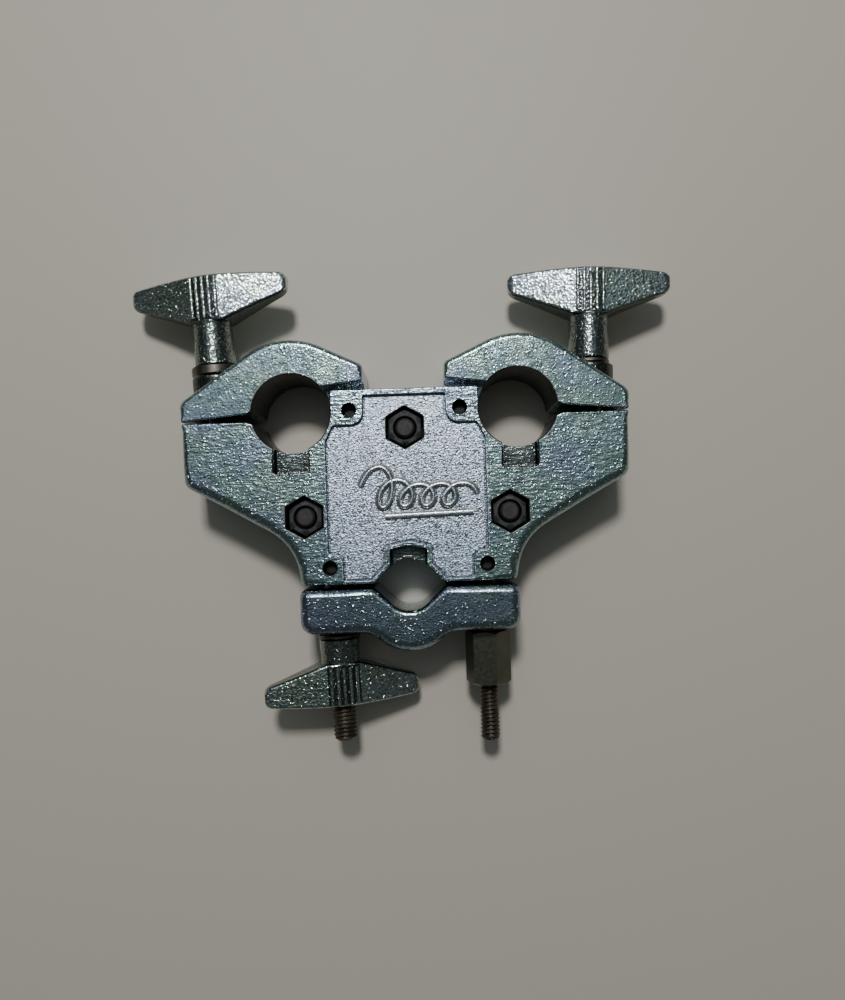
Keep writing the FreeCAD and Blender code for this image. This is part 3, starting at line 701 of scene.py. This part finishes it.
def makeBar():
    c = cast
    half, top, base = bar["half"], bar["top"], bar["base"]
    rod = c["rodRadius"]
    corners = wholeOutline([
        (0, bar["bellyCorner"], bar["bellyRadius"], 2.6), (9.67, base, 4.0, 2.4), (half, base, 3.2, 2.3),
        (half, top, 2.0, 2.2), (rod * math.sqrt(0.5) + 4.13, top, 1.6, 1.9),
        (0, c["rodY"] - rod * math.sqrt(2), rod, 1.2),
    ])
    block = slab("lowerBar", corners, 0, jaw["depth"], None, None, barPlating)
    inner = bar["slotInner"]
    slot = [(-32, -39, 0, 0), (inner, -39, 0.8, 0), (inner, -18, 0.8, 0), (-32, -18, 0, 0)]
    hole = drillTool(bar["boltHole"], 0, 30, Matrix.Translation((bar["boltX"], -45, midZ)), darkShade)
    combine(block, [plainTool(slot, midZ - bar["slotHalf"], midZ + bar["slotHalf"], darkShade), hole])
    return finishPiece(block, "lower_jaw", ["lower_jaw"])


makeBar()
print("jaws made")


# repeated shapes from Geometry Nodes

def nodeGroup(name, inputs):
    tree = bpy.data.node_groups.new(name, "GeometryNodeTree")
    tree.interface.new_socket("Geometry", in_out="OUTPUT", socket_type="NodeSocketGeometry")
    for label, kind, value in inputs:
        socket = tree.interface.new_socket(label, in_out="INPUT", socket_type="NodeSocket" + kind)
        if value is not None:
            socket.default_value = value
    return tree


def mathNode(tree, operation, first, second=None):
    node = tree.nodes.new("ShaderNodeMath")
    node.operation = operation
    for socket, value in zip(node.inputs, (first, second)):
        if value is None:
            continue
        if isinstance(value, (int, float)):
            socket.default_value = value
        else:
            tree.links.new(value, socket)
    return node.outputs[0]


def joinXyz(tree, **parts):
    node = tree.nodes.new("ShaderNodeCombineXYZ")
    for axis, part in parts.items():
        tree.links.new(part, node.inputs[axis.upper()])
    return node.outputs[0]


def splitPosition(tree):
    split = tree.nodes.new("ShaderNodeSeparateXYZ")
    tree.links.new(tree.nodes.new("GeometryNodeInputPosition").outputs[0], split.inputs[0])
    return split.outputs


def endTree(tree, geometry, finish):
    # plain geometry that carries its own material
    realize = tree.nodes.new("GeometryNodeRealizeInstances")
    tree.links.new(geometry, realize.inputs[0])
    paint = tree.nodes.new("GeometryNodeSetMaterial")
    tree.links.new(realize.outputs[0], paint.inputs["Geometry"])
    tree.links.new(finish, paint.inputs["Material"])
    tree.links.new(paint.outputs[0], tree.nodes.new("NodeGroupOutput").inputs[0])
    return tree


def threadTree():
    # a rod along local Z whose skin follows a helix; both ends taper to a chamfer
    tree = nodeGroup("threadedRod", [
        ("Radius", "Float", 3.0), ("Length", "Float", 20.0), ("Pitch", "Float", 1.0), ("Depth", "Float", 0.5),
        ("Chamfer", "Float", 0.7), ("Rows", "Int", 200), ("Finish", "Material", None)])
    source = tree.nodes.new("NodeGroupInput").outputs
    rod = tree.nodes.new("GeometryNodeMeshCylinder")
    rod.inputs["Vertices"].default_value = 40
    tree.links.new(source["Rows"], rod.inputs["Side Segments"])
    tree.links.new(source["Radius"], rod.inputs["Radius"])
    tree.links.new(source["Length"], rod.inputs["Depth"])
    x, y, z = splitPosition(tree)
    turn = mathNode(tree, "DIVIDE", mathNode(tree, "ARCTAN2", y, x), 2 * math.pi)
    along = mathNode(tree, "DIVIDE", z, source["Pitch"])
    phase = mathNode(tree, "PINGPONG", mathNode(tree, "SUBTRACT", along, turn), 0.5)
    groove = mathNode(tree, "MULTIPLY", mathNode(tree, "MULTIPLY", phase, 2.0), source["Depth"])
    halfLength = mathNode(tree, "DIVIDE", source["Length"], 2)
    toEnd = mathNode(tree, "SUBTRACT", halfLength, mathNode(tree, "ABSOLUTE", z))
    taper = mathNode(tree, "MAXIMUM", mathNode(tree, "SUBTRACT", source["Chamfer"], toEnd), 0.0)
    depth = mathNode(tree, "MAXIMUM", groove, taper)
    scale = mathNode(tree, "DIVIDE", mathNode(tree, "SUBTRACT", source["Radius"], depth), source["Radius"])
    place = tree.nodes.new("GeometryNodeSetPosition")
    tree.links.new(rod.outputs["Mesh"], place.inputs["Geometry"])
    skin = joinXyz(tree, x=mathNode(tree, "MULTIPLY", x, scale), y=mathNode(tree, "MULTIPLY", y, scale), z=z)
    tree.links.new(skin, place.inputs["Position"])
    return endTree(tree, place.outputs[0], source["Finish"])


def ribTree():
    # a row of upright half-round ribs across a crowned face; rows on both faces
    tree = nodeGroup("gripRibs", [
        ("Count", "Int", 5), ("Spacing", "Float", 1.55), ("Width", "Float", 0.5), ("Height", "Float", 11.0),
        ("Face", "Float", 4.3), ("Crown", "Float", 0.02), ("Finish", "Material", None)])
    source = tree.nodes.new("NodeGroupInput").outputs
    line = tree.nodes.new("GeometryNodeMeshLine")
    tree.links.new(source["Count"], line.inputs["Count"])
    tree.links.new(joinXyz(tree, x=source["Spacing"]), line.inputs["Offset"])
    row = mathNode(tree, "MULTIPLY", mathNode(tree, "SUBTRACT", source["Count"], 1), source["Spacing"])
    start = joinXyz(tree, x=mathNode(tree, "MULTIPLY", row, -0.5))
    tree.links.new(start, line.inputs["Start Location"])
    x = splitPosition(tree)[0]
    fall = mathNode(tree, "MULTIPLY", mathNode(tree, "MULTIPLY", x, x), source["Crown"])
    rise = mathNode(tree, "SUBTRACT", source["Face"], fall)
    rib = tree.nodes.new("GeometryNodeMeshCylinder")
    rib.inputs["Vertices"].default_value = 16
    rib.inputs["Side Segments"].default_value = 1
    tree.links.new(source["Width"], rib.inputs["Radius"])
    tree.links.new(source["Height"], rib.inputs["Depth"])
    joined = tree.nodes.new("GeometryNodeJoinGeometry")
    for sign in (1, -1):
        place = tree.nodes.new("GeometryNodeSetPosition")
        tree.links.new(line.outputs[0], place.inputs["Geometry"])
        tree.links.new(joinXyz(tree, z=mathNode(tree, "MULTIPLY", rise, sign)), place.inputs["Offset"])
        copies = tree.nodes.new("GeometryNodeInstanceOnPoints")
        tree.links.new(place.outputs[0], copies.inputs["Points"])
        tree.links.new(rib.outputs["Mesh"], copies.inputs["Instance"])
        copies.inputs["Rotation"].default_value = (math.pi / 2, 0, 0)
        tree.links.new(copies.outputs[0], joined.inputs[0])
    return endTree(tree, joined.outputs[0], source["Finish"])


def grown(name, tree, values):
    # runs a tree once and keeps the result as a plain mesh
    holder = newObject(name, bpy.data.meshes.new(name))
    modifier = holder.modifiers.new("grow", "NODES")
    modifier.node_group = tree
    sockets = {item.name: item.identifier for item in tree.interface.items_tree if item.in_out == "INPUT"}
    for label, value in values.items():
        modifier[sockets[label]] = value
    applyModifiers(holder)
    return holder


threads = threadTree()
ribs = ribTree()


# eyebolts, washers, wing nuts

bolt = {"eyeRadius": 4.2, "eyeHalf": 3.0, "threadStart": 12.0, "pitch": 1.0, "depth": 0.42, "chamfer": 0.8,
        "rowsPerTurn": 8, "overlap": 0.3}
eyebolts = {        # node, body, joint along the axis, shank radius, pin hole radius, length
    "leftEyebolt": ("left_swing_bolt", "left_bolt", "left_wing_spin", 2.95, 2.06, 42.5),
    "rightEyebolt": ("right_swing_bolt", "right_bolt", "right_wing_spin", 2.95, 2.06, 42.5),
    "lowerEyebolt": ("lower_swing_bolt", "lower_bolt", "lower_wing_spin", 2.95, 1.72, 44.4),
    "adjusterBolt": ("adjuster_bolt", "lower_jaw", "adjuster_spin", 2.45, 1.72, 45.4),
}


def makeEyebolt(name, node, body, spin, radius, hole, length):
    place = axisPlace(spin)
    x, y, z = place.translation
    eyeRadius, eyeHalf = bolt["eyeRadius"], bolt["eyeHalf"]
    eye = slab(name, circleCorners(x, y, eyeRadius), z - eyeHalf, z + eyeHalf, 0.5, 0.5, threadSteel)
    start = bolt["threadStart"]
    neck = lathe("neck", [(0, 0), (radius, 0), (radius, start - 0.6), (radius - 0.35, start), (0, start)],
                 place, 48, threadSteel)
    combine(eye, [neck], "UNION")
    combine(eye, [plainTool(circleCorners(x, y, hole), z - 5, z + 5, darkShade)])
    span = length - start + bolt["overlap"]
    rows = int(span / bolt["pitch"] * bolt["rowsPerTurn"])
    rod = grown("rod", threads, {
        "Radius": radius, "Length": span, "Pitch": bolt["pitch"], "Depth": bolt["depth"],
        "Chamfer": bolt["chamfer"], "Rows": rows, "Finish": threadSteel})
    middle = Matrix.Translation((0, start - bolt["overlap"] + span / 2, 0))
    rod.data.transform(place @ middle @ Matrix.Rotation(-math.pi / 2, 4, "X"))
    addInto(eye, rod, threadSteel)
    return finishPiece(eye, body, [node], 50)


for name, sizes in eyebolts.items():
    makeEyebolt(name, *sizes)

washers = {        # start along the bolt, width, radius, hole
    "left": (22.65, 2.3, 6.2, 3.2), "right": (22.65, 1.05, 5.2, 3.2), "lower": (17.3, 0.9, 5.5, 3.2),
    "adjuster": (16.4, 0.8, 5.0, 2.75),
}
washerEdge = 0.22       # chamfer


def makeWasher(word, spin):
    start, width, outer, hole = washers[word]
    edge = washerEdge
    place = axisPlace(spin)
    profile = [(hole, start), (outer - edge, start), (outer, start + edge), (outer, start + width - edge),
               (outer - edge, start + width), (hole, start + width)]
    ring = lathe(word + "Washer", profile, place, 56, washerZinc, True)
    name = word + "_washer"
    return finishPiece(ring, name, [name])


for word in ("left", "right", "lower"):
    makeWasher(word, word + "_wing_spin")
makeWasher("adjuster", "adjuster_spin")

wing = {"rootHalf": 5.0, "rootFlat": 4.3, "tipHalf": 1.75, "tipTall": 4.9, "edge": 0.8, "round": 1.9,
        "crown": 0.022, "sag": 0.5, "hubRadius": 5.2, "hubTop": 4.97, "hubSunk": 0.8, "hole": 3.0,
        "blindDepth": 19.5, "openDepth": 40, "shadeHalf": 3.9,
        "ribs": 5, "ribSpacing": 1.6, "ribRadius": 0.5, "ribSunk": 0.16, "ribShort": 1.7, "ribRise": 0.25}
wingSizes = {       # half span, height, how far the tips start from the root, hub length, turn on the thread
    "left": (20.8, 12.1, 6.1, 11.8, -8.0),
    "right": (20.8, 12.1, 6.1, 11.8, -2.0),
    "lower": (19.8, 10.9, 5.1, 6.85, -13.0),
}
nutGap = 0.05       # between a nut and its washer


def wingSection(x, half, tall, tipLow):
    # low edge, high edge and half thickness of the wing at a distance x along its span
    w = wing
    reach = abs(x)
    out = max(0, reach - w["rootFlat"]) / (half - w["rootFlat"])
    low = tipLow * out + w["sag"] * out * (1 - out)
    tipHigh = tipLow + w["tipTall"]
    high = tall - (tall - tipHigh) * (reach / half) ** 2
    crown = w["crown"] * min(reach, w["rootFlat"]) ** 2
    flat = w["rootHalf"] - w["crown"] * w["rootFlat"] ** 2
    thick = w["rootHalf"] - crown if reach < w["rootFlat"] else flat - (flat - w["tipHalf"]) * out
    tip = min(1, (half - reach) / w["round"])
    pinch = math.sqrt(max(0, 1 - (1 - tip) ** 2))
    middle = (low + high) / 2
    rise = (high - low) / 2 * (0.5 + 0.5 * pinch)
    return middle - rise, middle + rise, thick * (0.5 + 0.5 * pinch)


def makeWingNut(word):
    w = wing
    half, tall, tipLow, hubLength, turn = wingSizes[word]
    place = axisPlace(word + "_wing_spin") @ Matrix.Rotation(math.radians(turn), 4, "Y")
    hubStart = washers[word][0] + washers[word][1] + nutGap
    root = hubStart + hubLength - w["hubSunk"]
    inner = half - w["round"]
    tips = [inner + w["round"] * math.sin(angle) for angle in quarterTurn(8)[1:]]
    middle = [-inner + 2 * inner * step / 60 for step in range(61)]
    rings = []
    for x in [-tip for tip in reversed(tips)] + middle + tips:
        low, high, thick = wingSection(x, half, tall, tipLow)
        edge = min(w["edge"], thick * 0.7)
        ring = []
        for cy, cz, start in ((high - edge, thick - edge, 90), (low + edge, thick - edge, 0),
                              (low + edge, -thick + edge, -90), (high - edge, -thick + edge, -180)):
            for step in range(6):
                angle = math.radians(start - 18 * step)
                corner = Vector((x, root + cy + edge * math.sin(angle), cz + edge * math.cos(angle)))
                ring.append(tuple(place @ corner))
        rings.append(ring)
    block = loft(word + "WingNut", rings, wingPlating)
    block.data.materials.append(shadePlating)
    towardsHub = place.to_3x3() @ Vector((0, -1, 0))
    for polygon in block.data.polygons:        # the underside and the strip under the ribs are darker
        across = (place.inverted() @ polygon.center).x
        tilt = polygon.normal.dot(towardsHub)
        if tilt > 0.6 or (abs(across) < w["shadeHalf"] and abs(tilt) < 0.3):
            polygon.material_index = 1
    hub = lathe("hub", [(0, hubStart), (w["hubRadius"] - 0.4, hubStart), (w["hubRadius"], hubStart + 0.4),
                        (w["hubTop"], root - 0.5), (w["hubTop"] + 0.1, root + 0.2),
                        (w["hubTop"] - 0.2, root + 1.2), (w["hubTop"] - 0.9, root + 2.4), (0, root + 3)],
                place, 64, hubShade)
    combine(block, [hub], "UNION")
    depth = w["openDepth"] if word == "lower" else w["blindDepth"]
    combine(block, [drillTool(w["hole"], hubStart - 1, hubStart + depth, place, threadSteel)])
    grips = grown("grips", ribs, {
        "Count": w["ribs"], "Spacing": w["ribSpacing"], "Width": w["ribRadius"],
        "Height": tall - w["ribShort"], "Face": w["rootHalf"] - w["ribSunk"], "Crown": w["crown"],
        "Finish": wingPlating})
    grips.data.transform(place @ Matrix.Translation((0, root + tall / 2 + w["ribRise"], 0)))
    addInto(block, grips, wingPlating)
    return finishPiece(block, word + "_wing", [word + "_wing_nut"])


for word in wingSizes:
    makeWingNut(word)
print("wing nuts made")


# long nut, body nuts, screws and pins

longNut = {"flats": 10.0, "length": 13.85, "chamfer": 0.6, "turned": 12, "bore": 2.5, "mouth": 3.1}
bodyNut = {"flats": 8.0, "base": 15.0, "tall": 4.0, "chamfer": 0.25, "bore": 2.5, "mouth": 3.0}
bodyScrew = {"base": 0.3, "head": 4.4, "headTall": 2.8, "shank": 2.4, "shankTop": 11, "driveFlats": 3.0,
             "driveDepth": 1.8, "thread": 2.45, "threadLength": 9.0, "pitch": 0.8, "threadDepth": 0.35,
             "chamfer": 0.6, "rows": 90, "top": 19.7}
hingePin = {"radius": 1.66, "low": 3.0, "high": 18.0}
crossPin = {"radius": 2.0, "low": 4.1, "high": 16.9}


def hexPrism(name, acrossFlats, low, high, place, turned, material):
    corners = hexCorners(0, 0, acrossFlats, 0, turned)
    rings = [[tuple(place @ Vector((x, level, -y))) for x, y, _, _ in corners] for level in (low, high)]
    return loft(name, rings, material)


def hexBlock(name, sizes, low, high, place, turned, material):
    # a hexagonal prism along local Y whose ends are chamfered to a circle
    block = hexPrism(name, sizes["flats"], low, high, place, turned, material)
    corner = sizes["flats"] / math.sqrt(3)
    inner = sizes["flats"] / 2 - sizes["chamfer"]
    drop = (corner - inner) * math.tan(math.radians(30))
    cone = lathe("cone", [(0, low), (inner, low), (corner + 0.05, low + drop), (corner + 0.05, high - drop),
                          (inner, high), (0, high)], place, 72, material)
    combine(block, [cone], "INTERSECT")
    bore, mouth = sizes["bore"], sizes["mouth"]
    hole = lathe("tool", [(0, low - 1), (bore, low - 1), (bore, high - 0.6), (mouth, high), (mouth, high + 1),
                          (0, high + 1)], place, 48, threadSteel)
    return combine(block, [hole])


def makeAdjusterNut():
    low = washers["adjuster"][0] + washers["adjuster"][1] + nutGap
    block = hexBlock("longNut", longNut, low, low + longNut["length"], axisPlace("adjuster_spin"),
                     longNut["turned"], longNutSteel)
    return finishPiece(block, "adjuster_nut", ["adjuster_nut"])


def makeBodyFastener(word, x, y):
    nut = hexBlock("bodyNut" + word, bodyNut, 0, bodyNut["tall"], uprightPlace(x, y, bodyNut["base"]), 30,
                   darkOxide)
    finishPiece(nut, "root", ["body_nut_" + word.lower()])

    s = bodyScrew
    base = uprightPlace(x, y, s["base"])
    outer, under = s["head"], s["headTall"]
    head = lathe("bodyScrew" + word, [
        (0, 0), (outer - 1.1, 0), (outer - 0.4, 0.25), (outer, 0.9), (outer, under), (s["shank"], under),
        (s["shank"], s["shankTop"]), (0, s["shankTop"])], base, 64, screwOxide)
    combine(head, [hexPrism("tool", s["driveFlats"], -1, s["driveDepth"], base, 30, screwOxide)])
    rod = grown("rod", threads, {
        "Radius": s["thread"], "Length": s["threadLength"], "Pitch": s["pitch"], "Depth": s["threadDepth"],
        "Chamfer": s["chamfer"], "Rows": s["rows"], "Finish": screwOxide})
    rod.data.transform(Matrix.Translation((x, y, s["top"] - s["threadLength"] / 2)))
    addInto(head, rod, screwOxide)
    finishPiece(head, "root", ["body_screw_" + word.lower()], 50)


def makePin(name, node, side, where, sizes):
    radius = sizes["radius"]
    length = sizes["high"] - sizes["low"]
    pin = lathe(name, [(0, 0), (radius - 0.45, 0), (radius - 0.12, 0.12), (radius, 0.4),
                       (radius, length - 0.4), (radius - 0.12, length - 0.12), (radius - 0.45, length),
                       (0, length)], uprightPlace(side * where[0], where[1], sizes["low"]), 40, blackPinAndHoleShade)
    return finishPiece(pin, "root", [node])


makeAdjusterNut()
for word, (x, y) in zip(("Top", "Left", "Right"), cast["screws"]):
    makeBodyFastener(word, x, y)
for word, side in (("left", -1), ("right", 1)):
    makePin(word + "JawPin", word + "_jaw_pin", side, cast["jawPin"], hingePin)
    makePin(word + "FootPin", "lower_%s_pin" % word, side, cast["footPin"], hingePin)
    makePin(word + "CrossPin", word + "_bolt_pin", side, cast["boltPivot"], crossPin)
print("fasteners made")


# floor, light and camera

stageLook = {
    "floor": (0.58, 0.53, 0.45), "floorRough": 0.55, "floorSize": 3.0,
    "lampPower": 4.6, "lampSize": 0.12, "lampReach": 0.9, "lampFrom": (-0.04, 0.49, 0.871),
    "skyBright": (0.38, 0.43, 0.47), "skyDark": (0.060, 0.068, 0.066), "skyEdges": (0.77, 0.96),
    "lens": 30.42, "sensor": 36.0, "nearClip": 0.01,
    "eye": (5.8, -3.9, 228.0), "aim": (3.84, -0.12, 21.0), "up": (0.0314, 0.9995, 0),
}


def makeFloor():
    size = stageLook["floorSize"] / 2
    mesh = bpy.data.meshes.new("floor")
    corners = [(-size, -size, 0), (size, -size, 0), (size, size, 0), (-size, size, 0)]
    mesh.from_pydata(corners, [], [(0, 1, 2, 3)])
    material = bpy.data.materials.new("floorPaint")
    material.use_nodes = True
    shader = material.node_tree.nodes["Principled BSDF"]
    shader.inputs["Base Color"].default_value = stageLook["floor"] + (1,)
    shader.inputs["Roughness"].default_value = stageLook["floorRough"]
    newObject("floor", mesh, material)


def makeLamp():
    lamp = bpy.data.lights.new("softLamp", "AREA")
    lamp.energy = stageLook["lampPower"]
    lamp.size = stageLook["lampSize"]
    holder = bpy.data.objects.new("softLamp", lamp)
    scene.collection.objects.link(holder)
    direction = Vector(stageLook["lampFrom"])
    holder.location = direction.normalized() * stageLook["lampReach"]
    holder.rotation_euler = (-direction).to_track_quat("-Z", "Y").to_euler()


def makeSky():
    world = bpy.data.worlds.new("studio")
    scene.world = world
    world.use_nodes = True
    tree = world.node_tree
    coords = addNode(tree, "ShaderNodeTexCoord")
    # the room glows round the lamp and is dim everywhere else
    towards = addNode(tree, "ShaderNodeVectorMath", operation="DOT_PRODUCT")
    tree.links.new(coords.outputs["Generated"], towards.inputs[0])
    towards.inputs[1].default_value = stageLook["lampFrom"]
    glow = addNode(tree, "ShaderNodeMapRange", interpolation_type="SMOOTHSTEP")
    tree.links.new(towards.outputs["Value"], glow.inputs["Value"])
    glow.inputs["From Min"].default_value, glow.inputs["From Max"].default_value = stageLook["skyEdges"]
    colour = blendColours(tree, glow.outputs["Result"], stageLook["skyDark"], stageLook["skyBright"])
    tree.links.new(colour, tree.nodes["Background"].inputs["Color"])


def makeCamera():
    camera = bpy.data.cameras.new("camera")
    camera.lens = stageLook["lens"]
    camera.sensor_width = stageLook["sensor"]
    camera.clip_start = stageLook["nearClip"]
    holder = bpy.data.objects.new("camera", camera)
    scene.collection.objects.link(holder)
    eye = Vector(stageLook["eye"]) * mm
    aim = Vector(stageLook["aim"]) * mm
    back = (eye - aim).normalized()
    right = Vector(stageLook["up"]).cross(back).normalized()
    top = back.cross(right)
    turn = Matrix((right, top, back)).transposed().to_4x4()
    holder.matrix_world = Matrix.Translation(eye) @ turn
    scene.camera = holder


makeFloor()
makeLamp()
makeSky()
makeCamera()
print("stage made")
